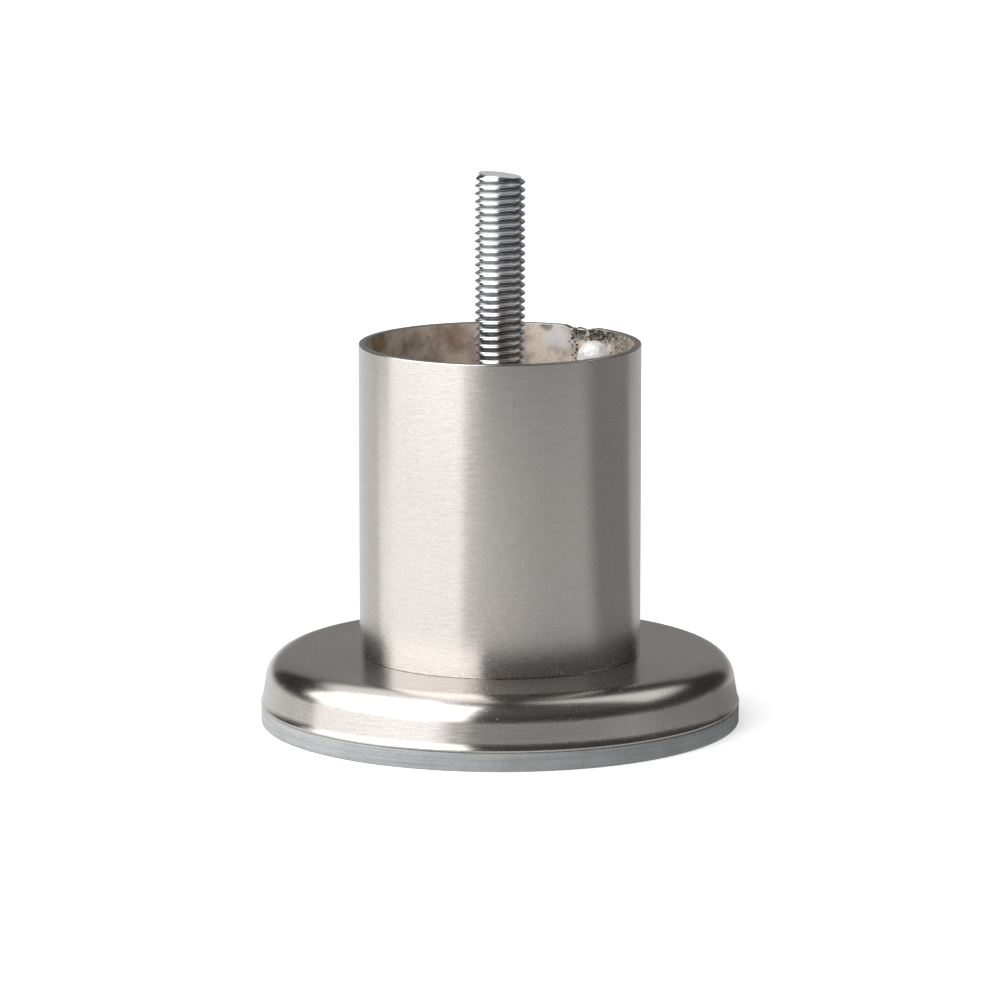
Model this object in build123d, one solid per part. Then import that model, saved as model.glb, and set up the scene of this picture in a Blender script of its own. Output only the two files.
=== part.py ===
from build123d import *
import os
from math import cos, radians, sin, tan

# Round furniture leg, in millimetres, standing on the floor at z = 0 with +Z up

# Leg tube
tube_od = 44.5
tube_wall = 1.2
leg_height = 60.5
rim_break = 0.2

# Pressed bell base, one sheet of even thickness
sheet = 1.2
bell_top = 11.2
collar_gap = 0.5
collar_height = 4.5
flange_width = 10.35
shoulder_radius = 4.7
skirt_draft = 7.4
flare_radius = 10.8
lip_draft = 23.3
lip_round = 0.3

# Moulded foot disc
foot_thick = 3.0
foot_inset = 0.3
foot_round = 0.35
spigot_height = 3.4
spigot_wall = 1.8
spigot_clearance = 0.1
recess_depth = 0.8
contact_width = 9.0

# Flat bar that carries the stud, set below the rim
strap_drop = 6.5
strap_width = 16.0
strap_thick = 4.0

# Threaded stud with a plain spigot through the bar
thread_d = 8.0
thread_pitch = 1.25
thread_depth = 0.7
thread_flat = 0.21
thread_allowance = 0.1
thread_start = 47.5
thread_runout = 1.0
stud_rise = 27.0
stud_lead = 0.15
stud_chamfer = 0.5
stud_spigot_d = 6.6
stud_fit = 0.05

# Weld beads
strap_weld_height = 4.5
strap_weld_width = 9.0
strap_weld_depth = 3.0
stud_weld_leg = 2.6
stud_weld_height = 1.6
tack_count = 3
tack_span = 24.0
tack_reach = 1.5
tack_height = 1.8

# Places that follow from the sizes above
tube_r = tube_od / 2
bore_r = tube_r - tube_wall
collar_r = bore_r - collar_gap
collar_top = bell_top + collar_height
strap_top = leg_height - strap_drop
strap_bottom = strap_top - strap_thick
stud_top = leg_height + stud_rise
stud_spigot_r = stud_spigot_d / 2
thread_r = thread_d / 2
crest_r = thread_r - thread_allowance / 2
root_r = crest_r - thread_depth
thread_length = stud_top - strap_top - thread_runout - stud_lead - stud_chamfer
shoulder_drop = shoulder_radius * (1 - sin(radians(skirt_draft)))
flare_drop = flare_radius * (sin(radians(lip_draft)) - sin(radians(skirt_draft)))
skirt_drop = bell_top - foot_thick - shoulder_drop - flare_drop
skirt_length = skirt_drop / cos(radians(skirt_draft))


def bell_skin(depth):
    """One face of the pressed sheet from collar to lip, set in by depth from the outer face."""
    collar = Line((collar_r - depth, collar_top), (collar_r - depth, bell_top + collar_gap))
    bend = JernArc(collar @ 1, (0, -1), collar_gap + depth, 90)
    flange = Line(bend @ 1, bend @ 1 + Vector(tube_r + flange_width - bore_r, 0))
    shoulder = JernArc(flange @ 1, (1, 0), shoulder_radius - depth, skirt_draft - 90)
    skirt = Line(shoulder @ 1, shoulder @ 1 + shoulder % 1 * skirt_length)
    flare = JernArc(skirt @ 1, skirt % 1, flare_radius + depth, lip_draft - skirt_draft)
    return [collar, bend, flange, shoulder, skirt, flare]


def skirt_radius(z, depth):
    """Radius of the skirt's straight stretch at height z, set in by depth."""
    outer = bell_skin(0)[4]
    start = outer @ 0
    slope = tan(radians(skirt_draft))
    return start.X + (start.Y - z) * slope - depth / cos(radians(skirt_draft))


def make_tube():
    """Cut tube with both edges of the rim broken."""
    tube = Cylinder(tube_r, leg_height - bell_top, align=(Align.CENTER, Align.CENTER, Align.MIN))
    tube -= Cylinder(bore_r, leg_height - bell_top, align=(Align.CENTER, Align.CENTER, Align.MIN))
    tube = chamfer(tube.edges().group_by(Axis.Z)[-1], rim_break)
    return Pos(0, 0, bell_top) * tube


def make_base_bell():
    """Sheet turned about the axis and trimmed flat where the lip sits on the foot."""
    outer = bell_skin(0)
    inner = bell_skin(sheet)
    ends = [Line(outer[0] @ 0, inner[0] @ 0), Line(outer[-1] @ 1, inner[-1] @ 1)]
    bell = revolve(Plane.XZ * make_face(outer + inner + ends), Axis.Z)
    trim = Cylinder(2 * tube_od, 2 * sheet, align=(Align.CENTER, Align.CENTER, Align.MAX))
    bell -= Pos(0, 0, foot_thick) * trim
    lip = bell.edges().group_by(Axis.Z)[0].sort_by(SortBy.RADIUS)[-1]
    return fillet(lip, lip_round)


def make_foot_disc():
    """Disc under the lip, with a spigot ring inside the skirt and a recess that leaves a contact ring."""
    foot_r = (bell_skin(0)[-1] @ 1).X - foot_inset
    disc = Cylinder(foot_r, foot_thick, align=(Align.CENTER, Align.CENTER, Align.MIN))
    disc = fillet(disc.edges().filter_by(GeomType.CIRCLE), foot_round)
    recess_r = foot_r - contact_width
    disc -= Cylinder(recess_r, recess_depth, align=(Align.CENTER, Align.CENTER, Align.MIN))
    top = foot_thick + spigot_height
    spigot_r = skirt_radius(top, sheet) - spigot_clearance
    spigot = Cylinder(spigot_r, spigot_height, align=(Align.CENTER, Align.CENTER, Align.MIN))
    spigot = chamfer(spigot.edges().group_by(Axis.Z)[-1], foot_round)
    hollow = Cylinder(spigot_r - spigot_wall, spigot_height, align=(Align.CENTER, Align.CENTER, Align.MIN))
    return disc + Pos(0, 0, foot_thick) * (spigot - hollow)


def make_stud_strap():
    """Flat bar cut to the bore at both ends, with a hole for the stud's spigot."""
    bar = Box(tube_od, strap_width, strap_thick, align=(Align.CENTER, Align.CENTER, Align.MIN))
    bar &= Cylinder(bore_r, strap_thick, align=(Align.CENTER, Align.CENTER, Align.MIN))
    hole = Cylinder(stud_spigot_r + stud_fit, strap_thick, align=(Align.CENTER, Align.CENTER, Align.MIN))
    return Pos(0, 0, strap_bottom) * (bar - hole)


def make_strap_welds():
    """Rounded bead in the corner between bar and bore, one at each end of the bar."""
    bead = scale(Sphere(1), (strap_weld_depth, strap_weld_width / 2, strap_weld_height))
    room = Cylinder(bore_r, strap_weld_height, align=(Align.CENTER, Align.CENTER, Align.MIN))
    corner = Pos(bore_r, 0, 0) * bead & room
    return [Pos(0, 0, strap_top) * Rot(0, 0, turn) * corner for turn in (0, 180)]


def make_thread():
    """Ridge wound right-handed on a core, its foot sunk into the core, and both cut square at the ends."""
    flank_rise = thread_pitch / 2 - thread_flat
    sunk_rise = thread_flat / 4
    foot_r = root_r - thread_depth * sunk_rise / flank_rise
    foot_half = thread_flat / 2 + flank_rise + sunk_rise
    crest = Line((crest_r, -thread_flat / 2), (crest_r, thread_flat / 2))
    foot = Line((foot_r, foot_half), (foot_r, -foot_half))
    tooth = make_face([crest, Line(crest @ 1, foot @ 0), foot, Line(foot @ 1, crest @ 0)])
    coil = Helix(thread_pitch, thread_length + 2 * thread_pitch, crest_r)
    ridge = sweep(Plane.XZ * tooth, path=coil, is_frenet=True)
    core = Cylinder(root_r, thread_length + 4 * thread_pitch)
    wound = core + Pos(0, 0, -thread_length / 2 - thread_pitch) * Rot(0, 0, thread_start) * ridge
    return wound & Cylinder(thread_d, thread_length)


def make_stud():
    """Stud on a plain run-out that rests on the bar, threaded up to a chamfered lead, with a spigot down."""
    spigot_length = strap_thick + stud_weld_height
    spigot = Cylinder(stud_spigot_r, spigot_length, align=(Align.CENTER, Align.CENTER, Align.MAX))
    runout = Cylinder(thread_r, thread_runout, align=(Align.CENTER, Align.CENTER, Align.MIN))
    thread = Pos(0, 0, thread_runout + thread_length / 2) * make_thread()
    lead = Cylinder(thread_r, stud_lead + stud_chamfer, align=(Align.CENTER, Align.CENTER, Align.MIN))
    lead = chamfer(lead.edges().group_by(Axis.Z)[-1], stud_chamfer)
    lead = Pos(0, 0, thread_runout + thread_length) * lead
    return Pos(0, 0, strap_top) * (spigot + runout + thread + lead)


def make_stud_weld():
    """Fillet ring under the bar round the stud's spigot."""
    root = (stud_spigot_r, strap_bottom)
    toe = (stud_spigot_r + stud_weld_leg, strap_bottom)
    throat = (stud_spigot_r, strap_bottom - stud_weld_height)
    face = RadiusArc(toe, throat, -2 * stud_weld_leg)
    ring = make_face([Line(throat, root), Line(root, toe), face])
    return revolve(Plane.XZ * ring, Axis.Z)


def make_base_welds():
    """Tack beads that hold the collar's end to the bore, evenly spaced."""
    root = (bore_r, collar_top)
    toe = (bore_r - tack_reach, collar_top)
    head = (bore_r, collar_top + tack_height)
    face = RadiusArc(toe, head, -2 * tack_reach)
    section = make_face([Line(root, toe), face, Line(head, root)])
    tack = revolve(Plane.XZ * section, Axis.Z, tack_span)
    pitch = 360 / tack_count
    return [Rot(0, 0, pitch * i + (pitch - tack_span) / 2) * tack for i in range(tack_count)]


nodes = {
    "tube": make_tube(),
    "base_bell": make_base_bell(),
    "base_welds": make_base_welds(),
    "stud_strap": make_stud_strap(),
    "strap_welds": make_strap_welds(),
    "stud": make_stud(),
    "stud_weld": make_stud_weld(),
    "foot_disc": make_foot_disc(),
}

os.makedirs("parts", exist_ok=True)
for name, shape in nodes.items():
    group = Compound(children=shape) if isinstance(shape, list) else shape
    export_step(group, f"parts/{name}.step")
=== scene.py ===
"""Looks of a round brushed metal furniture leg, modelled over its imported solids."""

import random
from math import asin, atan2, copysign, cos, degrees, hypot, pi, radians, sin, tan, tau
from typing import Callable, NamedTuple

import bmesh
import bpy
from bpy.props import FloatProperty, FloatVectorProperty, IntProperty, PointerProperty
from mathutils import Matrix, Vector, noise


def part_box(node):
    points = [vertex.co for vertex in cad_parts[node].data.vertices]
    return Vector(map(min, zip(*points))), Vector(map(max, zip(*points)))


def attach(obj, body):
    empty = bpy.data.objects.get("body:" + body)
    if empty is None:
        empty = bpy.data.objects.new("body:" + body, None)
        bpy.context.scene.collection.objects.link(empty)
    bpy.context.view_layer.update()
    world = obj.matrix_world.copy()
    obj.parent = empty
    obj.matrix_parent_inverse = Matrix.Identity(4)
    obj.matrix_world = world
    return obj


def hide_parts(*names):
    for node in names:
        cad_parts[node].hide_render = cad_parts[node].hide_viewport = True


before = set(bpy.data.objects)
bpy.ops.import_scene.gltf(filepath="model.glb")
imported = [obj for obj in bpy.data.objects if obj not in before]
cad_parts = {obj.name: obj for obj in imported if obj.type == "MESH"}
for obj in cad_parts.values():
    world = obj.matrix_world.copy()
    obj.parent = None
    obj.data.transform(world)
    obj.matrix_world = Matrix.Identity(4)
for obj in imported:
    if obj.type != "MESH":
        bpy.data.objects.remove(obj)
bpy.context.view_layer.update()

bl_info = {
    "name": "Round furniture leg",
    "version": (1, 0, 0),
    "blender": (4, 5, 0),
    "location": "View3D > Sidebar > Leg",
    "description": "Dresses the solids of a round metal furniture leg and sets a studio round it",
    "category": "Object",
}

TUBE_LOW, TUBE_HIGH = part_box("tube")
BELL_LOW, BELL_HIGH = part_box("base_bell")
FOOT_LOW, FOOT_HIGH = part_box("foot_disc")
STRAP_LOW, STRAP_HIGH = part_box("stud_strap")
STUD_LOW, STUD_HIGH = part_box("stud")
WELD_LOW, WELD_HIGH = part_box("strap_welds")


def length(name, description, default):
    """A property for one size, in metres."""
    return FloatProperty(name=name, description=description, default=default, unit="LENGTH", precision=5)


def angle(name, description, default):
    """A property for one angle, given in degrees."""
    return FloatProperty(name=name, description=description, default=radians(default), unit="ROTATION")


def colour(name, description, default):
    """A property for one linear colour."""
    return FloatVectorProperty(
        name=name, description=description, default=default, subtype="COLOR", size=3, min=0, max=1
    )


class LegSizes(bpy.types.PropertyGroup):
    """Sizes of the leg's pieces. The solids give those that they set."""

    segments: IntProperty(
        name="Segments", description="Flats in one turn of a round piece", default=288, min=24
    )
    tube_radius: length("Tube radius", "Outside of the tube", TUBE_HIGH.x)
    bore_radius: length("Bore radius", "Inside of the tube", STRAP_HIGH.x)
    rim_height: length("Rim height", "Cut end of the tube above the floor", TUBE_HIGH.z)
    rim_burn: length("Rim burn", "Depth that the weld has melted into the rim", 0.0007)
    rim_burn_bearing: angle("Rim burn bearing", "Middle of the melted rim, round from the weld", 10)
    rim_burn_spread: angle("Rim burn spread", "Reach of the melted rim to either side", 8)
    rim_break: length("Rim break", "Rounding on the edges of the tube's ends", 0.0002)
    flange_height: length("Flange height", "Flat top of the base, where the tube stands", TUBE_LOW.z)
    flange_width: length("Flange width", "Flat of the base outside the tube", 0.010343)
    collar_height: length("Collar top", "End of the base's collar inside the tube", BELL_HIGH.z)
    collar_gap: length("Collar gap", "Room between collar and bore", 0.0005)
    sheet: length("Sheet", "Thickness of the pressed base", 0.0012)
    shoulder_radius: length("Shoulder radius", "Rounding from flange to skirt", 0.00462)
    skirt_draft: angle("Skirt draft", "Lean of the skirt from upright", 8.98)
    flare_radius: length("Flare radius", "Hollow curve from skirt to lip", 0.004)
    lip_draft: angle("Lip draft", "Lean of the sheet where it ends", 32.1)
    lip_height: length("Lip height", "Underside of the lip, on the foot", BELL_LOW.z)
    lip_round: length("Lip round", "Rounding on the lip's outer edge", 0.0003)
    foot_radius: length("Foot radius", "Outside of the foot disc", FOOT_HIGH.x)
    foot_round: length("Foot round", "Rounding on the foot's edges", 0.00035)
    foot_recess: length("Foot recess", "Depth of the hollow under the foot", 0.0008)
    foot_contact: length("Foot contact", "Width of the ring that stands on the floor", 0.009)
    spigot_top: length("Spigot top", "Top of the ring that locates the foot", FOOT_HIGH.z)
    spigot_radius: length("Spigot radius", "Outside of the ring that locates the foot", 0.03604)
    spigot_wall: length("Spigot wall", "Thickness of the ring that locates the foot", 0.0018)
    strap_width: length("Bar width", "Width of the flat bar across the bore", STRAP_HIGH.y - STRAP_LOW.y)
    strap_low: length("Bar underside", "Underside of the flat bar", STRAP_LOW.z)
    strap_high: length("Bar top", "Top of the flat bar, where the stud stands", STRAP_HIGH.z)
    thread_radius: length("Thread radius", "Crests of the stud's thread", STUD_HIGH.x)
    thread_pitch: length("Thread pitch", "Rise of the thread in one turn", 0.00125)
    thread_depth: length("Thread depth", "From crest to root of the thread", 0.00074)
    thread_phase: angle("Thread phase", "Turn of the thread about the stud", 150)
    stud_spigot: length("Stud spigot radius", "Plain end of the stud through the bar", 0.0033)
    stud_lead: length("Stud lead", "Length of the tapered lead on the stud's tip", 0.0013)
    stud_taper: angle("Stud taper", "Lean of the lead on the stud's tip", 28)
    stud_shear: angle("Stud shear", "Lean of the stud's cut end", 6.5)
    shear_bearing: angle("Shear bearing", "Side to which the stud's cut end falls", -43)
    stud_wear: length("Stud wear", "Unevenness of the rolled and plated thread", 0.000035)
    stud_low: length("Stud foot", "Lower end of the stud", STUD_LOW.z)
    stud_high: length("Stud tip", "Cut end of the stud", STUD_HIGH.z)
    weld_width: length("Weld width", "Weld bead along the wall", WELD_HIGH.y - WELD_LOW.y)
    weld_height: length("Weld height", "Weld bead above the bar", WELD_HIGH.z - WELD_LOW.z)
    weld_depth: length("Weld depth", "Weld bead out from the wall", 0.003)


class LegFinishes(bpy.types.PropertyGroup):
    """Colours of the leg's finishes."""

    nickel: colour("Nickel", "Brushed plate on tube and base", (0.66, 0.625, 0.595))
    bare_wall: colour("Bare wall", "Dull wall inside the tube", (0.88, 0.765, 0.645))
    scale: colour("Scale", "Dark film on bare steel", (0.045, 0.038, 0.03))
    # Nearly white: the weld metal's own pale colour, raised further by a painted highlight
    weld: colour("Weld", "Clean weld metal", (0.98, 0.98, 0.98))
    zinc: colour("Zinc", "Bright plate on the stud", (0.84, 0.85, 0.875))
    plastic: colour("Plastic", "Grey foot", (0.396, 0.406, 0.411))
    dust: colour("Dust", "Stray specks on the plate", (0.9, 0.89, 0.87))
    rust: colour("Rust", "Brown stains on the bare wall", (0.5, 0.33, 0.23))
    heat_tint: colour("Heat tint", "Pale film on the wall beside a weld", (0.82, 0.85, 0.88))
    pits: colour("Pits", "Rough wall beside a weld", (0.2, 0.175, 0.145))
    weld_cloud: colour("Weld cloud", "Blue-grey film on clean weld metal", (0.8, 0.82, 0.86))
    crust: colour("Crust", "Bright crests on a bead's scaled ends", (0.62, 0.6, 0.57))


class LegStage(bpy.types.PropertyGroup):
    """Where the camera stands and what the studio round the leg is like."""

    azimuth: angle("Azimuth", "Turn of the camera about the leg", -43)
    distance: length("Distance", "Camera from the leg's axis, over the floor", 0.932)
    height: length("Height", "Camera above the floor", 0.2072)
    aim: length("Aim", "Height of the point that the camera looks at", 0.03536)
    lens: FloatProperty(name="Lens", description="Focal length", default=216.1, unit="CAMERA")
    floor: colour("Floor", "Pale floor", (0.9, 0.9, 0.9))
    floor_glow: FloatProperty(name="Floor glow", description="Light that the floor gives off", default=0.64)


class Value:
    """A shader socket that takes part in arithmetic by adding Math nodes."""

    def __init__(self, nodes, socket):
        self.nodes = nodes
        self.socket = socket

    def math(self, operation, *terms):
        """A Math node of these terms, in order."""
        return self.nodes.add("ShaderNodeMath", {"operation": operation}, dict(enumerate(terms)))

    def __add__(self, other):
        return self.math("ADD", self, other)

    def __sub__(self, other):
        return self.math("SUBTRACT", self, other)

    def __mul__(self, other):
        return self.math("MULTIPLY", self, other)

    def __truediv__(self, other):
        return self.math("DIVIDE", self, other)

    def __pow__(self, other):
        return self.math("POWER", self, other)

    def __rsub__(self, other):
        return self.math("SUBTRACT", other, self)

    def __neg__(self):
        return self.math("MULTIPLY", self, -1.0)

    def __abs__(self):
        return self.math("ABSOLUTE", self)

    __radd__ = __add__
    __rmul__ = __mul__

    def most(self, other):
        """The larger of the two."""
        return self.math("MAXIMUM", self, other)

    def step(self, low, high):
        """Rises smoothly from 0 at low to 1 at high, or falls where low is above high."""
        rising = low < high
        return self.nodes.add(
            "ShaderNodeMapRange",
            {"interpolation_type": "SMOOTHSTEP"},
            {
                "Value": self,
                "From Min": min(low, high),
                "From Max": max(low, high),
                "To Min": 0.0 if rising else 1.0,
                "To Max": 1.0 if rising else 0.0,
            },
        )

    def between(self, low, high, soft, soft_high=None):
        """1 from low to high and 0 outside, with edges as soft as this, or the high one as soft as that."""
        soft_high = soft_high or soft
        return self.step(low - soft, low + soft) * self.step(high + soft_high, high - soft_high)


# Sockets of a Mix node that mixes colours
MIX_FACTOR, MIX_FIRST, MIX_SECOND, MIX_RESULT = 0, 6, 7, 2


class Nodes:
    """A node tree that grows by one node at a time."""

    def __init__(self, tree):
        self.tree = tree
        tree.nodes.clear()

    def add(self, kind, settings=None, inputs=None, output=0):
        """A node of this kind: its settings first, then its inputs. Gives one of its outputs."""
        node = self.tree.nodes.new(kind)
        for key, setting in (settings or {}).items():
            setattr(node, key, setting)
        for key, value in (inputs or {}).items():
            if isinstance(value, Value):
                self.tree.links.new(value.socket, node.inputs[key])
            else:
                node.inputs[key].default_value = value
        return Value(self, node.outputs[output]) if node.outputs else None

    def split(self, vector):
        """The three parts of a vector."""
        parts = self.add("ShaderNodeSeparateXYZ", None, {0: vector}).socket.node.outputs
        return [Value(self, part) for part in parts]

    def join(self, x, y, z):
        """A vector from its three parts."""
        return self.add("ShaderNodeCombineXYZ", None, {0: x, 1: y, 2: z})

    def place(self):
        """Where a point lies on its object."""
        return self.add("ShaderNodeTexCoord", output="Object")

    def mix(self, factor, first, second):
        """A colour between two."""
        inputs = {MIX_FACTOR: factor, MIX_FIRST: first, MIX_SECOND: second}
        return self.add("ShaderNodeMix", {"data_type": "RGBA"}, inputs, MIX_RESULT)

    def grain(self, vector, scale, detail=2.0, roughness=0.5):
        """Noise between 0 and 1."""
        inputs = {"Vector": vector, "Scale": scale, "Detail": detail, "Roughness": roughness}
        return self.add("ShaderNodeTexNoise", None, inputs)

    def bump(self, height, strength, distance):
        """A normal that follows a height."""
        inputs = {"Height": height, "Strength": strength, "Distance": distance}
        return self.add("ShaderNodeBump", None, inputs)


def paint(tone, factor=1.0):
    """A colour property, made lighter or darker by a factor, with its alpha."""
    return (*(part * factor for part in tone), 1.0)


class TurnedGrain:
    """Coordinates on a piece turned about Z: radius, height, and a vector that follows the tool's lines."""

    def __init__(self, nodes):
        self.nodes = nodes
        self.place = nodes.place()
        self.x, self.y, self.z = nodes.split(self.place)
        self.radius = (self.x * self.x + self.y * self.y) ** 0.5
        self.east = self.x / self.radius
        self.north = self.y / self.radius
        self.along = self.radius - self.z

    def lines(self, around, per_metre):
        """Noise drawn out round the axis: so many patches round it, so many lines to a metre across it."""
        vector = self.nodes.join(self.east * around, self.north * around, self.along * per_metre)
        return self.nodes.grain(vector, scale=1.0)


def finish_of(name):
    """A new material and the nodes that it starts with."""
    material = bpy.data.materials.new(name)
    material.use_nodes = True
    return material, Nodes(material.node_tree)


def surface(nodes, **inputs):
    """Closes a material with one shader. Spaces in socket names are written as underscores."""
    sockets = {key.replace("_", " "): value for key, value in inputs.items()}
    shader = nodes.add("ShaderNodeBsdfPrincipled", None, sockets)
    nodes.add("ShaderNodeOutputMaterial", None, {"Surface": shader})


# Height over which the tube's plate gives way to the smoother plate of the pressed base
JOINT_BLEND = 0.0003
# Heights between which the stray specks thin out upwards
DUST_FADE = (0.017, 0.011)


def brushed_nickel(finishes, sizes):
    """Warm grey plate brushed round the axis, smoother on the pressed base, with hair lines and specks."""
    material, nodes = finish_of("nickel_plate")
    turned = TurnedGrain(nodes)
    hair = turned.lines(around=16.0, per_metre=9000.0)
    band = turned.lines(around=3.0, per_metre=2600.0)
    cloud = nodes.grain(turned.place, scale=55.0, detail=3.0)
    sand = nodes.grain(turned.place, scale=3200.0)
    dusty = nodes.grain(turned.place, scale=130.0).step(0.42, 0.6) * turned.z.step(*DUST_FADE)
    speck = nodes.grain(turned.place, scale=2300.0, detail=1.0).step(0.7, 0.76) * dusty
    pressed = turned.z.step(sizes.flange_height + JOINT_BLEND, sizes.flange_height)
    tone = hair * 0.45 + sand * 0.3 + band * 0.15 + cloud * 0.1
    base = nodes.mix(tone.step(0.34, 0.66), paint(finishes.nickel, 0.86), paint(finishes.nickel, 1.04))
    surface(
        nodes,
        Base_Color=nodes.mix(speck * 0.5, base, paint(finishes.dust)),
        Metallic=1.0,
        Roughness=0.18 - pressed * 0.045 + hair * 0.1 + cloud * 0.04 + speck * 0.3,
        Anisotropic=0.8,
        Anisotropic_Rotation=0.25,
        Normal=nodes.bump(hair + sand * 0.9 + band * 0.3, strength=0.14, distance=0.00002),
    )
    return material


# Marks on the bare wall, in metres along it from a weld's middle and down from the rim. Pairs fade from
# nothing at the first number to full at the second, and ovals have a centre and radii.
SCORCH_START, SCORCH_END, SCORCH_DOWN = (-0.005, -0.003), (0.0062, 0.005), (0.0026, 0.0014)
PITS_START, PITS_END = (-0.02, -0.014), (-0.003, -0.005)
TINT_CENTRE, TINT_RADII = (0.0072, 0.002), (0.0024, 0.0022)
SOOT_CENTRE, SOOT_RADII = (0.0092, 0.0), (0.0011, 0.0013)
# How far the edges of those marks wander
RAGGED = 0.004


def oval(along, down, centre, radii):
    """Grows from 0 at a centre through 1 at the radii round it."""
    return ((along - centre[0]) / radii[0]) ** 2.0 + ((down - centre[1]) / radii[1]) ** 2.0


def bare_wall(finishes, sizes):
    """Drawn steel inside the tube: dull beige, stained brown, scorched and heat-tinted round both welds."""
    material, nodes = finish_of("bare_wall")
    turned = TurnedGrain(nodes)
    stain = nodes.grain(turned.place, scale=170.0, detail=4.0, roughness=0.6)
    fine = nodes.grain(turned.place, scale=1300.0, detail=3.0, roughness=0.6)
    rust = nodes.grain(turned.place, scale=75.0, detail=3.0, roughness=0.6).step(0.42, 0.62)
    ragged = (stain - 0.5) * RAGGED + (fine - 0.5) * RAGGED
    along = turned.y * turned.x.math("SIGN", turned.x)
    below = sizes.rim_height - turned.z
    edge = along + ragged
    scorch = edge.step(*SCORCH_START) * edge.step(*SCORCH_END) * (below + ragged).step(*SCORCH_DOWN)
    pitted = edge.step(*PITS_START) * edge.step(*PITS_END)
    tint = (oval(along, below, TINT_CENTRE, TINT_RADII) + (stain - 0.5) * 1.6).step(1.7, 0.1)
    soot = oval(along, below, SOOT_CENTRE, SOOT_RADII).step(1.2, 0.3)
    brown = nodes.mix(rust, paint(finishes.bare_wall, 0.55), paint(finishes.rust))
    clean = nodes.mix(stain.step(0.42, 0.66), paint(finishes.bare_wall), brown)
    flecked = nodes.mix(fine.step(0.5, 0.7) * 0.35, clean, paint(finishes.bare_wall, 0.5))
    tinted = nodes.mix(tint * 0.7, flecked, paint(finishes.heat_tint))
    rough = nodes.mix(pitted * fine.step(0.36, 0.54), tinted, paint(finishes.pits))
    burnt = (scorch * fine.step(0.3, 0.5)).most(soot * 0.6)
    surface(
        nodes,
        Base_Color=nodes.mix(burnt, rough, paint(finishes.scale)),
        Metallic=0.1,
        Roughness=0.48 + stain * 0.14 - pitted * 0.12,
        Normal=nodes.bump(
            stain * 0.6 + fine * (0.25 + pitted + scorch), strength=0.35, distance=0.00016
        ),
    )
    return material


def weld_metal(finishes):
    """Clean weld metal, smooth, with a soft sheen and faint blue-grey cloud; its nearly white colour is
    partly a painted highlight.
    """
    material, nodes = finish_of("weld_metal")
    place = nodes.place()
    coarse = nodes.grain(place, scale=420.0, detail=3.0, roughness=0.6)
    cloud = nodes.grain(place, scale=700.0).step(0.6, 0.8)
    surface(
        nodes,
        # The weld's nearly white colour is partly a painted highlight
        Base_Color=nodes.mix(cloud, paint(finishes.weld), paint(finishes.weld_cloud)),
        Metallic=0.3,
        Roughness=0.42 + coarse * 0.12,
        Normal=nodes.bump(coarse, strength=0.08, distance=0.0001),
    )
    return material


def weld_crust(finishes):
    """Scaled weld metal at a bead's ends: dark pores between bright, broken crests."""
    material, nodes = finish_of("weld_crust")
    pores = nodes.grain(nodes.place(), scale=1500.0, detail=3.0, roughness=0.65)
    surface(
        nodes,
        Base_Color=nodes.mix(pores.step(0.42, 0.58), paint(finishes.scale), paint(finishes.crust)),
        Metallic=0.6,
        Roughness=0.35 + pores * 0.2,
        Normal=nodes.bump(pores, strength=0.6, distance=0.0002),
    )
    return material


# How much the grain of the rolled bar is drawn out along it, where the welds' scorch starts and is full, in
# metres from the axis, and how far its edge wanders
ROLLED_OUT = 0.15
BAR_SCORCH = (0.012, 0.02)
BAR_RAGGED = 0.012


def mill_steel(finishes):
    """Flat bar as rolled: a grey film along it, worn lighter in patches and scorched by the welds."""
    material, nodes = finish_of("mill_steel")
    place = nodes.place()
    x, y, z = nodes.split(place)
    rolled = nodes.grain(nodes.join(x * ROLLED_OUT, y, z), scale=900.0, detail=3.0, roughness=0.6)
    patch = nodes.grain(place, scale=120.0, detail=3.0)
    fine = nodes.grain(place, scale=2200.0)
    scorch = (abs(x) + (patch - 0.5) * BAR_RAGGED).step(*BAR_SCORCH)
    film = (patch * 0.75 + rolled * 0.25).step(0.34, 0.66)
    worn = nodes.mix(film, paint(finishes.nickel, 0.72), paint(finishes.nickel, 0.5))
    surface(
        nodes,
        Base_Color=nodes.mix(scorch * 0.75, worn, paint(finishes.scale)),
        Metallic=0.85,
        Roughness=0.4 + patch * 0.12 + rolled * 0.1,
        Normal=nodes.bump(rolled + fine * 0.3, strength=0.2, distance=0.00006),
    )
    return material


# Where the thread's painted shade and dirt start and are full, on the flanks and then in the roots, as shares
# of its depth
GROOVE_SHADE_AND_DIRT, ROOT_SHADE_AND_DIRT = (0.1, 1.0), (0.75, 0.97)


def bright_zinc(finishes, sizes):
    """Bright plate over a rolled thread: clean crests, and painted shade with some grey dirt that darkens the
    flanks a little and the roots more.
    """
    material, nodes = finish_of("bright_zinc")
    turned = TurnedGrain(nodes)
    cloud = nodes.grain(turned.place, scale=900.0, detail=3.0, roughness=0.6)
    fine = nodes.grain(turned.place, scale=2600.0)
    rub = turned.lines(around=3.0, per_metre=6000.0)
    depth = (sizes.thread_radius - turned.radius) / sizes.thread_depth
    groove = depth.step(*GROOVE_SHADE_AND_DIRT)
    # Painted shade with some dirt: flanks and roots darken with depth into a dark copy of the zinc, and a
    # faint random cloud adds to it
    shade_and_dirt = groove * 0.28 + depth.step(*ROOT_SHADE_AND_DIRT) * 0.5 + cloud.step(0.5, 0.8) * 0.12
    surface(
        nodes,
        Base_Color=nodes.mix(shade_and_dirt, paint(finishes.zinc), paint(finishes.zinc, 0.12)),
        Metallic=1.0,
        Roughness=0.1 + cloud * 0.12 + groove * 0.04,
        Normal=nodes.bump(cloud * 0.6 + fine * 0.9 + rub * 0.5, strength=0.5, distance=0.00003),
    )
    return material


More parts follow.
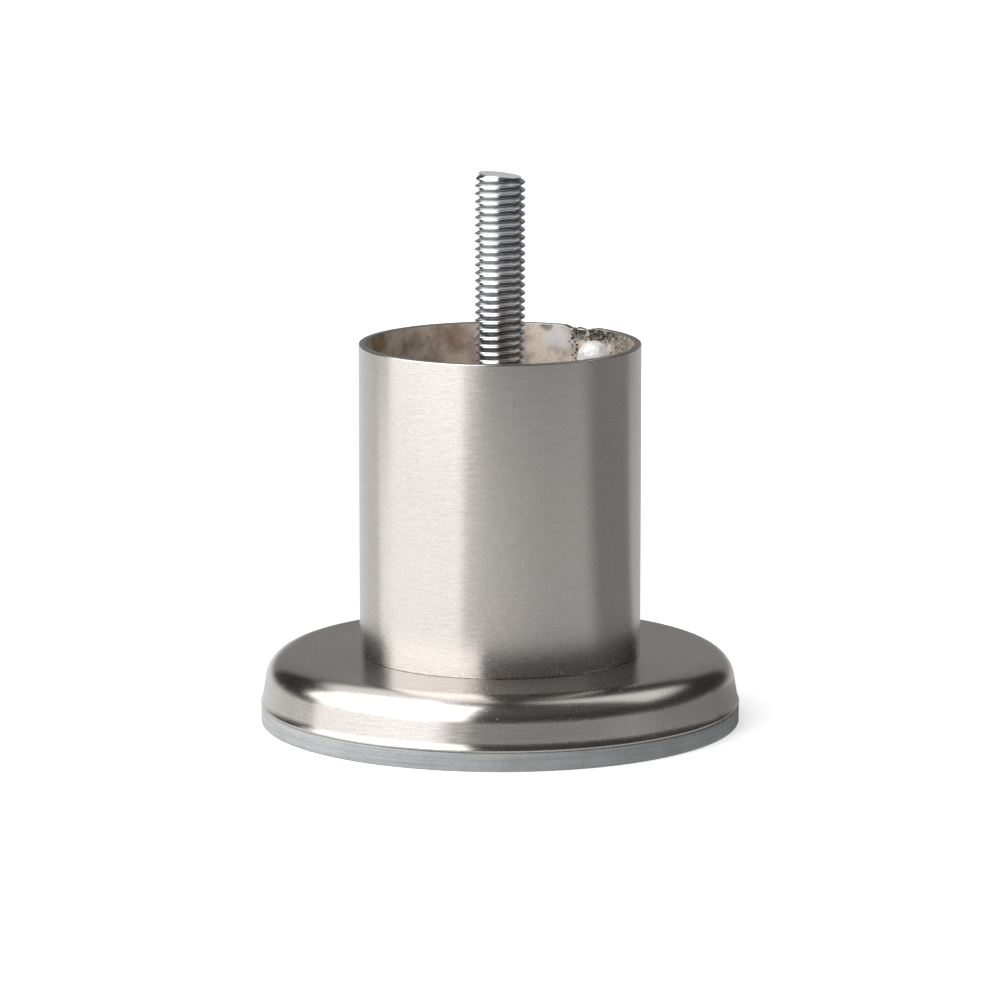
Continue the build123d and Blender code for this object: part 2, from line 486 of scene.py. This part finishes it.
def sheared_end(finishes):
    """The stud's cut end: torn, pale and faintly blue."""
    material, nodes = finish_of("sheared_end")
    torn = nodes.grain(nodes.place(), scale=3000.0, detail=3.0, roughness=0.6)
    surface(
        nodes,
        Base_Color=nodes.mix(torn.step(0.35, 0.65), paint(finishes.zinc, 0.7), paint(finishes.zinc)),
        Metallic=0.25,
        Roughness=0.4 + torn * 0.2,
        Normal=nodes.bump(torn, strength=0.3, distance=0.00006),
    )
    return material


def cut_rim(finishes):
    """The tube's sawn rim: dull dark steel with fine marks on it."""
    material, nodes = finish_of("cut_rim")
    marks = nodes.grain(nodes.place(), scale=4200.0, detail=3.0, roughness=0.6)
    surface(
        nodes,
        Base_Color=nodes.mix(
            marks.step(0.35, 0.65), paint(finishes.nickel, 0.45), paint(finishes.nickel, 0.75)
        ),
        Metallic=1.0,
        Roughness=0.36 + marks * 0.12,
        Normal=nodes.bump(marks, strength=0.16, distance=0.00003),
    )
    return material


def grey_plastic(finishes):
    """Matte moulded grey with faint lines round its edge, fine tooth and a few rubbed marks."""
    material, nodes = finish_of("moulded_grey")
    turned = TurnedGrain(nodes)
    line = turned.lines(around=2.0, per_metre=2600.0)
    tooth = nodes.grain(turned.place, scale=2600.0)
    rub = nodes.grain(turned.place, scale=190.0, detail=4.0, roughness=0.6)
    tone = (line * 0.5 + tooth * 0.25 + rub * 0.25).step(0.36, 0.64)
    surface(
        nodes,
        Base_Color=nodes.mix(tone, paint(finishes.plastic, 0.8), paint(finishes.plastic, 1.16)),
        Metallic=0.0,
        Roughness=0.36 + rub * 0.12,
        Specular_IOR_Level=0.8,
        Normal=nodes.bump(line + tooth * 0.6, strength=0.3, distance=0.00005),
    )
    return material


def pale_floor(stage):
    """Plain white paper, bright enough to lose its shade."""
    material, nodes = finish_of("pale_floor")
    fibre = nodes.grain(nodes.place(), scale=900.0, detail=3.0)
    surface(
        nodes,
        Base_Color=nodes.mix(fibre, paint(stage.floor, 0.98), paint(stage.floor)),
        Roughness=0.9,
        Emission_Color=paint(stage.floor),
        Emission_Strength=stage.floor_glow,
    )
    return material


# The floor as it lights the leg, by bearing from the camera in degrees: where it fades in and out, and where
# its lit part and the brighter part of that fade in. Then the light of all of it, and what those two add.
FLOOR_IN, FLOOR_OUT, FLOOR_LIT, FLOOR_BRIGHTER = (-31, -23), (132, 120), (83, 67), (45, -40)
DIM_LEVEL, LIT_LEVEL, BRIGHTER_LEVEL = 0.25, 0.24, 0.32


def reflector_sheen(stage):
    """The floor's light on the leg by bearing, and clear where the studio's low panels light it instead."""
    material, nodes = finish_of("reflector")
    x, y, _ = nodes.split(nodes.place())
    across = x * cos(stage.azimuth) + y * sin(stage.azimuth)
    towards = x * sin(stage.azimuth) - y * cos(stage.azimuth)
    bearing = across.math("ARCTAN2", across, towards) * (180 / pi)
    lit = LIT_LEVEL + bearing.step(*FLOOR_BRIGHTER) * BRIGHTER_LEVEL
    level = bearing.step(*FLOOR_LIT) * lit + DIM_LEVEL
    dull = {"Base Color": (0, 0, 0, 1), "Roughness": 1.0, "Specular IOR Level": 0.0}
    light = {"Emission Color": level, "Emission Strength": 1.0}
    glow = nodes.add("ShaderNodeBsdfPrincipled", None, dull | light)
    clear = nodes.add("ShaderNodeBsdfTransparent")
    shown = bearing.step(*FLOOR_IN) * bearing.step(*FLOOR_OUT)
    sheen = nodes.add("ShaderNodeMixShader", None, {0: shown, 1: clear, 2: glow})
    nodes.add("ShaderNodeOutputMaterial", None, {"Surface": sheen})
    material.cycles.emission_sampling = "NONE"
    return material


class Pen:
    """Draws a section in the XZ plane, stroke by stroke, for turning about Z."""

    def __init__(self, bm, x, z, heading=0.0):
        self.bm = bm
        self.tip = bm.verts.new((x, 0.0, z))
        self.heading = radians(heading)

    def turn(self, by):
        """Turns the pen on the spot by so many degrees, to the left where positive."""
        self.heading += radians(by)

    def stroke(self, reach):
        """A straight line of this length."""
        self.tip = bmesh.ops.extrude_vert_indiv(self.bm, verts=[self.tip])["verts"][0]
        ahead = Vector((cos(self.heading), 0.0, sin(self.heading)))
        bmesh.ops.translate(self.bm, verts=[self.tip], vec=ahead * reach)

    def arc(self, radius, by, steps):
        """Part of a circle that leaves along the pen's heading and turns it by so many degrees."""
        side = copysign(radius, by)
        centre = self.tip.co + Vector((-sin(self.heading), 0.0, cos(self.heading))) * side
        drawn = bmesh.ops.spin(
            self.bm, geom=[self.tip], cent=centre, axis=(0, -1, 0), angle=radians(by), steps=steps
        )
        self.tip = drawn["geom_last"][0]
        self.turn(by)

    def reach_x(self, x):
        """A level line to this x."""
        self.heading = 0.0 if x > self.tip.co.x else pi
        self.stroke(abs(x - self.tip.co.x))

    def reach_z(self, z):
        """An upright line to this z."""
        self.heading = copysign(pi / 2, z - self.tip.co.z)
        self.stroke(abs(z - self.tip.co.z))


# Vertices nearer than this are one: in a whole mesh, in a section or a sliver, and at a cut
MERGE, FINE_MERGE, CUT_MERGE = 1e-6, 1e-7, 1e-8
# Edges that bend less than this are shaded smooth
SMOOTH_ANGLE = radians(32)


def lathe(bm, segments):
    """Turns everything drawn once round Z and closes its seam and poles."""
    section = bm.verts[:] + bm.edges[:]
    bmesh.ops.spin(
        bm, geom=section, cent=(0, 0, 0), axis=(0, 0, 1), angle=tau, steps=segments, use_merge=True
    )
    bmesh.ops.remove_doubles(bm, verts=bm.verts, dist=MERGE)
    bmesh.ops.dissolve_degenerate(bm, dist=FINE_MERGE, edges=bm.edges)
    bmesh.ops.recalc_face_normals(bm, faces=bm.faces)


def make_piece(name, bm, materials, slot, *nodes):
    """A finished piece on the leg, smooth but for its real edges."""
    for face in bm.faces:
        face.smooth = True
    for edge in bm.edges:
        edge.smooth = len(edge.link_faces) == 2 and edge.calc_face_angle() < SMOOTH_ANGLE
    mesh = bpy.data.meshes.new(name)
    bm.to_mesh(mesh)
    bm.free()
    for material in materials:
        mesh.materials.append(material)
    piece = bpy.data.objects.new(name, mesh)
    bpy.context.scene.collection.objects.link(piece)
    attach(piece, "root")
    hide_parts(*nodes)


# Skins of the tube's faces, and how far a face has to look outwards for the first and inwards for the second
OUTSIDE, BORE, CUT_END = 0, 1, 2
LOOKS_OUT, LOOKS_IN = 0.5, -0.9
# The melted rim: its even share, its uneven share and how fine that is
BURN_EVEN, BURN_UNEVEN, BURN_GRAIN = 0.75, 0.6, 900


class LEG_OT_tube(bpy.types.Operator):
    """Turns the tube's wall, brushed outside and bare inside, and melts its rim over the weld"""

    bl_idname = "leg.tube"
    bl_label = "Tube"

    def execute(self, context):
        sizes = context.scene.leg_sizes
        finishes = context.scene.leg_finishes
        wall = sizes.tube_radius - sizes.bore_radius
        tall = sizes.rim_height - sizes.flange_height
        bm = bmesh.new()
        pen = Pen(bm, sizes.bore_radius, sizes.flange_height)
        pen.stroke(wall - sizes.rim_break)
        pen.arc(sizes.rim_break, 90, steps=4)
        pen.stroke(tall - 2 * sizes.rim_break)
        pen.arc(sizes.rim_break, 90, steps=4)
        pen.stroke(wall - 2 * sizes.rim_break)
        pen.arc(sizes.rim_break, 90, steps=4)
        pen.stroke(tall - sizes.rim_break)
        bmesh.ops.remove_doubles(bm, verts=bm.verts, dist=FINE_MERGE)
        lathe(bm, sizes.segments)
        self.melt_rim(bm, sizes)
        for face in bm.faces:
            face.material_index = self.skin_of(face)
        finish = bpy.data.materials.get("nickel_plate") or brushed_nickel(finishes, sizes)
        skins = [finish, bare_wall(finishes, sizes), cut_rim(finishes)]
        make_piece("leg_tube", bm, skins, "brushed_nickel", "tube")
        return {"FINISHED"}

    def melt_rim(self, bm, sizes):
        """Lowers the rim unevenly where the weld has melted it."""
        for vert in bm.verts:
            aside = (atan2(vert.co.y, vert.co.x) - sizes.rim_burn_bearing) / sizes.rim_burn_spread
            uneven = BURN_EVEN + BURN_UNEVEN * noise.noise(vert.co * BURN_GRAIN)
            if vert.co.z > sizes.rim_height - 2 * sizes.rim_break:
                vert.co.z -= max(0.0, 1 - aside**2) * uneven * sizes.rim_burn

    def skin_of(self, face):
        """The skin for the way that a face looks."""
        outward = face.normal.dot(face.calc_center_median().to_2d().to_3d().normalized())
        if outward > LOOKS_OUT:
            return OUTSIDE
        return BORE if outward < LOOKS_IN else CUT_END


class LEG_OT_base(bpy.types.Operator):
    """Turns the pressed bell base: one sheet with two parallel skins and a rounded lip"""

    bl_idname = "leg.base"
    bl_label = "Bell base"

    def execute(self, context):
        sizes = context.scene.leg_sizes
        finishes = context.scene.leg_finishes
        sheet = sizes.sheet
        draft = sizes.skirt_draft
        flare = sizes.flare_radius
        drop = flare * sin(sizes.lip_draft)
        fall = sizes.flange_height - sizes.lip_height - drop
        skirt = (fall - sizes.shoulder_radius * (1 - sin(draft)) + flare * sin(draft)) / cos(draft)
        upright = sizes.collar_height - sizes.flange_height - sizes.collar_gap
        level = sizes.tube_radius + sizes.flange_width - sizes.bore_radius
        outer_end = asin((drop - sizes.lip_round) / (flare + sizes.lip_round))
        inner_end = asin(drop / (flare + sheet))
        bm = bmesh.new()
        pen = Pen(bm, sizes.bore_radius - sizes.collar_gap, sizes.collar_height, -90)
        pen.stroke(upright)
        pen.arc(sizes.collar_gap, 90, steps=6)
        pen.stroke(level)
        pen.arc(sizes.shoulder_radius, degrees(draft) - 90, steps=40)
        pen.stroke(skirt)
        pen.arc(flare, degrees(outer_end - draft), steps=14)
        flare_centre = pen.tip.co.x + flare * cos(outer_end)
        pen.arc(sizes.lip_round, -90 - degrees(outer_end), steps=10)
        pen.reach_x(flare_centre - (flare + sheet) * cos(inner_end))
        pen.heading = pi / 2 + inner_end
        pen.arc(flare + sheet, degrees(draft - inner_end), steps=14)
        pen.stroke(skirt)
        pen.arc(sizes.shoulder_radius - sheet, 90 - degrees(draft), steps=30)
        pen.stroke(level)
        pen.arc(sizes.collar_gap + sheet, -90, steps=8)
        pen.stroke(upright)
        pen.reach_x(sizes.bore_radius - sizes.collar_gap)
        bmesh.ops.remove_doubles(bm, verts=bm.verts, dist=FINE_MERGE)
        lathe(bm, sizes.segments)
        finish = bpy.data.materials.get("nickel_plate") or brushed_nickel(finishes, sizes)
        make_piece("bell_base", bm, [finish], "brushed_nickel", "base_bell")
        return {"FINISHED"}


class LEG_OT_foot(bpy.types.Operator):
    """Turns the grey foot disc with its locating ring and the hollow under it"""

    bl_idname = "leg.foot"
    bl_label = "Foot disc"

    def execute(self, context):
        sizes = context.scene.leg_sizes
        rounding = sizes.foot_round
        bm = bmesh.new()
        pen = Pen(bm, 0.0, sizes.foot_recess)
        pen.reach_x(sizes.foot_radius - sizes.foot_contact)
        pen.reach_z(0.0)
        pen.reach_x(sizes.foot_radius - rounding)
        pen.arc(rounding, 90, steps=6)
        pen.stroke(sizes.lip_height - 2 * rounding)
        pen.arc(rounding, 90, steps=6)
        pen.reach_x(sizes.spigot_radius)
        pen.reach_z(sizes.spigot_top - rounding)
        pen.arc(rounding, 90, steps=6)
        pen.reach_x(sizes.spigot_radius - sizes.spigot_wall)
        pen.reach_z(sizes.lip_height)
        pen.reach_x(0.0)
        lathe(bm, sizes.segments)
        make_piece("foot", bm, [grey_plastic(context.scene.leg_finishes)], "grey_plastic", "foot_disc")
        return {"FINISHED"}


# The thread's form as shares of its pitch: flats on crest and root, rise of the flanks, rounding of corners
THREAD_FLAT, THREAD_FLANK, THREAD_ROUND = 0.17, 0.33, 0.07
# The thread starts so many pitches below the bar and is wound for so many turns more than the stud shows
THREAD_START, SPARE_TURNS = 1.5, 3
# Flats in one turn of the thread and of the spigot
THREAD_STEPS, SPIGOT_STEPS = 72, 48
# How fine the thread's unevenness is
WEAR_GRAIN = 2600


class LEG_OT_stud(bpy.types.Operator):
    """Winds the stud's thread, tapers and shears its tip and turns the spigot under it"""

    bl_idname = "leg.stud"
    bl_label = "Threaded stud"

    def execute(self, context):
        sizes = context.scene.leg_sizes
        finishes = context.scene.leg_finishes
        bm = bmesh.new()
        self.wind(bm, sizes)
        self.wear(bm, sizes)
        side = Matrix.Rotation(sizes.shear_bearing, 3, "Z")
        lean = side @ Vector((sin(sizes.stud_shear), 0, cos(sizes.stud_shear)))
        tip_radius = sizes.thread_radius - sizes.stud_lead * tan(sizes.stud_taper)
        self.cut(bm, sizes.stud_high - tan(sizes.stud_shear) * tip_radius, lean)
        self.cut(bm, sizes.strap_high, Vector((0, 0, -1)))
        bmesh.ops.recalc_face_normals(bm, faces=bm.faces)
        self.add_spigot(bm, sizes)
        skins = [bright_zinc(finishes, sizes), sheared_end(finishes)]
        make_piece("threaded_stud", bm, skins, "zinc_steel", "stud")
        return {"FINISHED"}

    def wind(self, bm, sizes):
        """Draws the section of one tooth, winds it once round and stacks the turns."""
        pitch = sizes.thread_pitch
        root = sizes.thread_radius - sizes.thread_depth
        climb = pitch * THREAD_FLANK
        pen = Pen(bm, root, sizes.strap_high - THREAD_START * pitch)
        for outward in (sizes.thread_depth, -sizes.thread_depth):
            pen.heading = pi / 2
            pen.stroke(pitch * THREAD_FLAT)
            pen.heading = atan2(climb, outward)
            pen.stroke(hypot(climb, outward))
        corners = [vert for vert in bm.verts if len(vert.link_edges) == 2]
        bmesh.ops.bevel(
            bm, geom=corners, offset=pitch * THREAD_ROUND, offset_type="OFFSET", affect="VERTICES",
            segments=2, profile=0.5, material=-1,
        )
        section = bm.verts[:] + bm.edges[:]
        phase = Matrix.Rotation(sizes.thread_phase, 3, "Z")
        bmesh.ops.rotate(bm, verts=bm.verts, cent=(0, 0, 0), matrix=phase)
        rise = (0, 0, pitch / THREAD_STEPS)
        bmesh.ops.spin(
            bm, geom=section, cent=(0, 0, 0), axis=(0, 0, 1), dvec=rise, angle=tau, steps=THREAD_STEPS
        )
        turn = bm.verts[:] + bm.edges[:] + bm.faces[:]
        turns = int((sizes.stud_high - sizes.strap_high) / pitch) + SPARE_TURNS
        for count in range(1, turns):
            copied = bmesh.ops.duplicate(bm, geom=turn)["geom"]
            moved = [part for part in copied if isinstance(part, bmesh.types.BMVert)]
            bmesh.ops.translate(bm, verts=moved, vec=(0, 0, pitch * count))
        bmesh.ops.remove_doubles(bm, verts=bm.verts, dist=MERGE)

    def wear(self, bm, sizes):
        """Tapers the tip and makes the thread's skin a little uneven."""
        lead_start = sizes.stud_high - sizes.stud_lead
        for vert in bm.verts:
            reach = hypot(vert.co.x, vert.co.y)
            lead = sizes.thread_radius - max(0.0, vert.co.z - lead_start) * tan(sizes.stud_taper)
            uneven = sizes.stud_wear * noise.noise(vert.co * WEAR_GRAIN)
            vert.co.xy *= (min(reach, lead) - uneven) / reach

    def cut(self, bm, height, away):
        """Takes off what lies beyond a plane that crosses the axis at this height, and closes the cut."""
        origin = Vector((0, 0, height))
        everything = bm.verts[:] + bm.edges[:] + bm.faces[:]
        bmesh.ops.bisect_plane(
            bm, geom=everything, dist=CUT_MERGE, plane_co=origin, plane_no=away, clear_outer=True
        )
        on_plane = {vert for vert in bm.verts if abs((vert.co - origin).dot(away)) < MERGE}
        ring = [edge for edge in bm.edges if edge.is_boundary and on_plane.issuperset(edge.verts)]
        for face in bmesh.ops.edgeloop_fill(bm, edges=ring)["faces"]:
            face.material_index = 1

    def add_spigot(self, bm, sizes):
        """Turns the plain end that goes through the bar and joins it to the mesh."""
        spigot = bmesh.new()
        pen = Pen(spigot, 0.0, sizes.stud_low)
        pen.reach_x(sizes.stud_spigot)
        pen.reach_z(sizes.strap_high)
        pen.reach_x(0.0)
        lathe(spigot, SPIGOT_STEPS)
        plain = bpy.data.meshes.new("stud_spigot")
        spigot.to_mesh(plain)
        spigot.free()
        bm.from_mesh(plain)
        bpy.data.meshes.remove(plain)


# Flats on each rounded end of the bar
BAR_END_STEPS = 16


class LEG_OT_bar(bpy.types.Operator):
    """Shapes the flat bar across the bore"""

    bl_idname = "leg.bar"
    bl_label = "Flat bar"

    def execute(self, context):
        sizes = context.scene.leg_sizes
        finishes = context.scene.leg_finishes
        half = asin(sizes.strap_width / 2 / sizes.bore_radius)
        bm = bmesh.new()
        for start in (-half, pi - half):
            way = Vector((cos(start), sin(start), 0))
            corner = bm.verts.new(way * sizes.bore_radius + Vector((0, 0, sizes.strap_low)))
            bmesh.ops.spin(
                bm, geom=[corner], cent=(0, 0, 0), axis=(0, 0, 1), angle=2 * half, steps=BAR_END_STEPS
            )
        ends = [vert for vert in bm.verts if len(vert.link_edges) == 1]
        for side in (-1, 1):
            bm.edges.new([vert for vert in ends if vert.co.y * side > 0])
        outline = bmesh.ops.contextual_create(bm, geom=bm.edges[:])["faces"]
        raised = bmesh.ops.extrude_face_region(bm, geom=outline)["geom"]
        top = [part for part in raised if isinstance(part, bmesh.types.BMVert)]
        bmesh.ops.translate(bm, verts=top, vec=(0, 0, sizes.strap_high - sizes.strap_low))
        bmesh.ops.recalc_face_normals(bm, faces=bm.faces)
        make_piece("flat_bar", bm, [mill_steel(finishes)], "bare_steel", "stud_strap")
        return {"FINISHED"}


class Spatter(NamedTuple):
    """A kind of splash on the wall by a weld."""

    number: int
    spread: Callable
    aside: tuple
    drop: tuple
    size: tuple


# How many there are by a full weld, how they spread, degrees aside from the weld's middle (a middle and a
# deviation, or two limits), and limits in metres for the depth below the rim and for the size
SPATTER = (
    Spatter(36, random.Random.gauss, (12, 1.2), (0.0003, 0.0055), (0.00008, 0.0002)),
    Spatter(70, random.Random.uniform, (-9, 14), (0.0007, 0.0021), (0.00007, 0.0002)),
    Spatter(70, random.Random.gauss, (-14, 8), (0.0004, 0.0045), (0.00006, 0.00015)),
)
# Where each weld is about the axis, and its share of the spatter, which starts lower by a tidier weld
WELDS = ((0.0, 1.0), (pi, 0.4))
TIDIER_DROP = 0.002
# Skins of the welds, and the share of a dab that is sunk in the wall
CLEAN, CRUST = 0, 1
DAB_SUNK = 0.3
# Height of a bead and rise of its crown as shares of the weld's height, then the crown's place and size
BEAD_SHARE, CROWN_SHARE = 0.75, 0.48
CROWN_IN, CROWN_ASIDE = -0.0006, -0.0004
CROWN_RADII = Vector((0.0026, 0.0031, 0.0025))
# How fine a lump's unevenness is, how far it differs from one lump to the next, and the form of its noise
LUMP_GRAIN, LUMP_SHIFT = 1.6, 900
LUMP_NOISE = (0.8, 2.0, 3)


class LEG_OT_welds(bpy.types.Operator):
    """Lays a bead, its crown and its spatter at both ends of the bar, and finishes the hidden beads"""

    bl_idname = "leg.welds"
    bl_label = "Weld beads"

    def execute(self, context):
        sizes = context.scene.leg_sizes
        finishes = context.scene.leg_finishes
        chance = random.Random(7)
        root = Vector((sizes.bore_radius, 0, sizes.strap_high))
        bead = Vector((sizes.weld_depth, sizes.weld_width / 2, sizes.weld_height * BEAD_SHARE))
        crown = root + Vector((CROWN_IN, CROWN_ASIDE, sizes.weld_height * CROWN_SHARE))
        bm = bmesh.new()
        for turn, splash in WELDS:
            place = Matrix.Rotation(turn, 4, "Z")
            self.lump(bm, place, root, bead, roughness=0.22, detail=5, skin=CRUST)
            self.lump(bm, place, crown, CROWN_RADII, roughness=0.05, detail=5, skin=CLEAN)
            for kind in SPATTER:
                for _ in range(int(splash * kind.number)):
                    drop = (1 - splash) * TIDIER_DROP + chance.uniform(*kind.drop)
                    aside = kind.spread(chance, *kind.aside)
                    self.dab(bm, place, sizes, aside, drop, chance.uniform(*kind.size))
        for vert in bm.verts:
            reach = hypot(vert.co.x, vert.co.y)
            if reach > sizes.bore_radius:
                vert.co.xy *= sizes.bore_radius / reach
            vert.co.z = max(vert.co.z, sizes.strap_high)
        skins = [weld_metal(finishes), weld_crust(finishes)]
        make_piece("bar_welds", bm, skins, "bare_steel", "strap_welds")
        for name in ("base_welds", "stud_weld"):
            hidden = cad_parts[name].data.materials
            hidden.clear()
            hidden.append(skins[CLEAN])
        return {"FINISHED"}

    def dab(self, bm, place, sizes, aside, drop, size):
        """A small splash on the wall, so many degrees aside from the bead and so far below the rim."""
        way = Vector((cos(radians(aside)), sin(radians(aside)), 0))
        spot = way * (sizes.bore_radius - size * DAB_SUNK) + Vector((0, 0, sizes.rim_height - drop))
        self.lump(bm, place, spot, Vector((size, size, size)), roughness=0.3, detail=2, skin=CRUST)

    def lump(self, bm, place, centre, radii, roughness, detail, skin):
        """A ball stretched to its radii, with an uneven surface."""
        shape = place @ Matrix.Translation(centre) @ Matrix.Diagonal((*radii, 1))
        ball = bmesh.ops.create_icosphere(bm, subdivisions=detail, radius=1.0)["verts"]
        for vert in ball:
            grain = vert.co * LUMP_GRAIN + centre * LUMP_SHIFT
            vert.co *= 1 + roughness * noise.fractal(grain, *LUMP_NOISE)
            for face in vert.link_faces:
                face.material_index = skin
        bmesh.ops.transform(bm, matrix=shape, verts=ball)


class SoftPanel(NamedTuple):
    """A lit panel by bearing from the camera and by height, with soft edges, all in degrees."""

    left: float
    right: float
    low: float
    high: float
    soft: float
    soft_right: float
    strength: float


# The studio's light: a large window in front on the left, dim walls and low strips all round, two windows
# high up behind, and the room's own light
PANELS = (
    SoftPanel(-101, -17, 15, 74, 5, 4, 2.9),
    SoftPanel(-114, -101, 18, 74, 5, 5, 2.9),
    SoftPanel(-117, -27, -60, -6, 4, 5, 1.28),
    SoftPanel(-101, -27, -6, 15, 4, 5, 1.28),
    SoftPanel(-200, -117, -60, -6, 5, 5, 0.74),
    SoftPanel(-200, -101, -6, 2, 5, 5, 0.82),
    SoftPanel(-27, 75, -4, 7, 2, 8, 0.45),
    SoftPanel(75, 126, -6, 4, 4, 4, 0.42),
    SoftPanel(-17, 90, 35, 74, 8, 8, 0.06),
    SoftPanel(126, 200, -24, 0, 6, 6, 0.5),
    SoftPanel(-176, -104, 40, 84, 5, 5, 0.95),
    SoftPanel(88, 133, 36, 84, 6, 6, 0.92),
)
ROOM_LIGHT = 0.035
# The wall behind the leg: where it starts on either side, its lower and upper edge, their softness, its light
WALL_START, WALL_LOW, WALL_HIGH, WALL_SOFT, WALL_LIGHT = (148, 156), 2, 34, 4, 0.22
# Half the side of the floor and of the reflector, and how far the reflector lies below the floor
FLOOR_REACH, REFLECTOR_REACH, REFLECTOR_DROP = 12, 6, 0.0001
# Width of the camera's film, in millimetres
FILM = 36


class LEG_OT_stage(bpy.types.Operator):
    """Lays a pale floor, hangs the studio's light round the leg and stands the camera"""

    bl_idname = "leg.stage"
    bl_label = "Studio"

    def execute(self, context):
        stage = context.scene.leg_stage
        floor = self.square(context, "floor", FLOOR_REACH, 0.0, pale_floor(stage))
        floor.visible_glossy = False
        floor.visible_diffuse = False
        # The reflector stands in for the floor in what the leg mirrors and is lit by
        sheet = self.square(context, "reflector", REFLECTOR_REACH, -REFLECTOR_DROP, reflector_sheen(stage))
        for kind in ("camera", "transmission", "volume_scatter", "shadow"):
            setattr(sheet, "visible_" + kind, False)
        self.studio(context, stage)
        self.camera(context, stage)
        context.scene.view_settings.view_transform = "Standard"
        return {"FINISHED"}

    def square(self, context, name, reach, height, material):
        """A level square about the axis, at this height."""
        bm = bmesh.new()
        bmesh.ops.create_grid(bm, x_segments=1, y_segments=1, size=reach)
        bmesh.ops.translate(bm, verts=bm.verts, vec=(0, 0, height))
        mesh = bpy.data.meshes.new(name)
        bm.to_mesh(mesh)
        bm.free()
        mesh.materials.append(material)
        flat = bpy.data.objects.new(name, mesh)
        context.scene.collection.objects.link(flat)
        return flat

    def camera(self, context, stage):
        """A long lens where the photograph was taken from."""
        data = bpy.data.cameras.new("camera")
        data.lens = stage.lens
        data.sensor_width = FILM
        camera = bpy.data.objects.new("camera", data)
        turn = Matrix.Rotation(stage.azimuth, 3, "Z")
        camera.location = turn @ Vector((0, -stage.distance, stage.height))
        aim = Vector((0, 0, stage.aim)) - camera.location
        camera.rotation_euler = aim.to_track_quat("-Z", "Y").to_euler()
        context.scene.collection.objects.link(camera)
        context.scene.camera = camera

    def studio(self, context, stage):
        """Soft panels and dim walls all round the leg."""
        world = bpy.data.worlds.new("studio")
        world.use_nodes = True
        context.scene.world = world
        nodes = Nodes(world.node_tree)
        ray = nodes.add("ShaderNodeTexCoord", output="Generated")
        turned = nodes.add(
            "ShaderNodeVectorRotate", {"rotation_type": "Z_AXIS"}, {"Vector": ray, "Angle": -stage.azimuth}
        )
        x, y, z = nodes.split(turned)
        bearing = x.math("ARCTAN2", x, -y) * (180 / pi)
        rise = z.math("ARCSINE", z) * (180 / pi)
        wall = abs(bearing).step(*WALL_START) * rise.between(WALL_LOW, WALL_HIGH, WALL_SOFT)
        light = ROOM_LIGHT + wall * WALL_LIGHT
        for panel in PANELS:
            wide = bearing.between(panel.left, panel.right, panel.soft, panel.soft_right)
            light += wide * rise.between(panel.low, panel.high, panel.soft) * panel.strength
        background = nodes.add("ShaderNodeBackground", None, {"Color": light, "Strength": 1.0})
        nodes.add("ShaderNodeOutputWorld", None, {"Surface": background})


class LEG_PT_panel(bpy.types.Panel):
    """Lists the leg's pieces, sizes and finishes"""

    bl_idname = "LEG_PT_panel"
    bl_label = "Furniture leg"
    bl_space_type = "VIEW_3D"
    bl_region_type = "UI"
    bl_category = "Leg"

    def draw(self, context):
        for operator in OPERATORS:
            self.layout.operator(operator.bl_idname)
        for group in (context.scene.leg_sizes, context.scene.leg_finishes, context.scene.leg_stage):
            box = self.layout.box()
            for name in group.__annotations__:
                box.prop(group, name)


OPERATORS = (LEG_OT_tube, LEG_OT_base, LEG_OT_foot, LEG_OT_stud, LEG_OT_bar, LEG_OT_welds, LEG_OT_stage)
CLASSES = (LegSizes, LegFinishes, LegStage, *OPERATORS, LEG_PT_panel)


def register():
    for cls in CLASSES:
        bpy.utils.register_class(cls)
    bpy.types.Scene.leg_sizes = PointerProperty(type=LegSizes)
    bpy.types.Scene.leg_finishes = PointerProperty(type=LegFinishes)
    bpy.types.Scene.leg_stage = PointerProperty(type=LegStage)


def unregister():
    del bpy.types.Scene.leg_stage
    del bpy.types.Scene.leg_finishes
    del bpy.types.Scene.leg_sizes
    for cls in reversed(CLASSES):
        bpy.utils.unregister_class(cls)


def main():
    register()
    bpy.ops.leg.tube()
    bpy.ops.leg.base()
    bpy.ops.leg.foot()
    bpy.ops.leg.stud()
    bpy.ops.leg.bar()
    bpy.ops.leg.welds()
    bpy.ops.leg.stage()


if __name__ == "__main__":
    main()
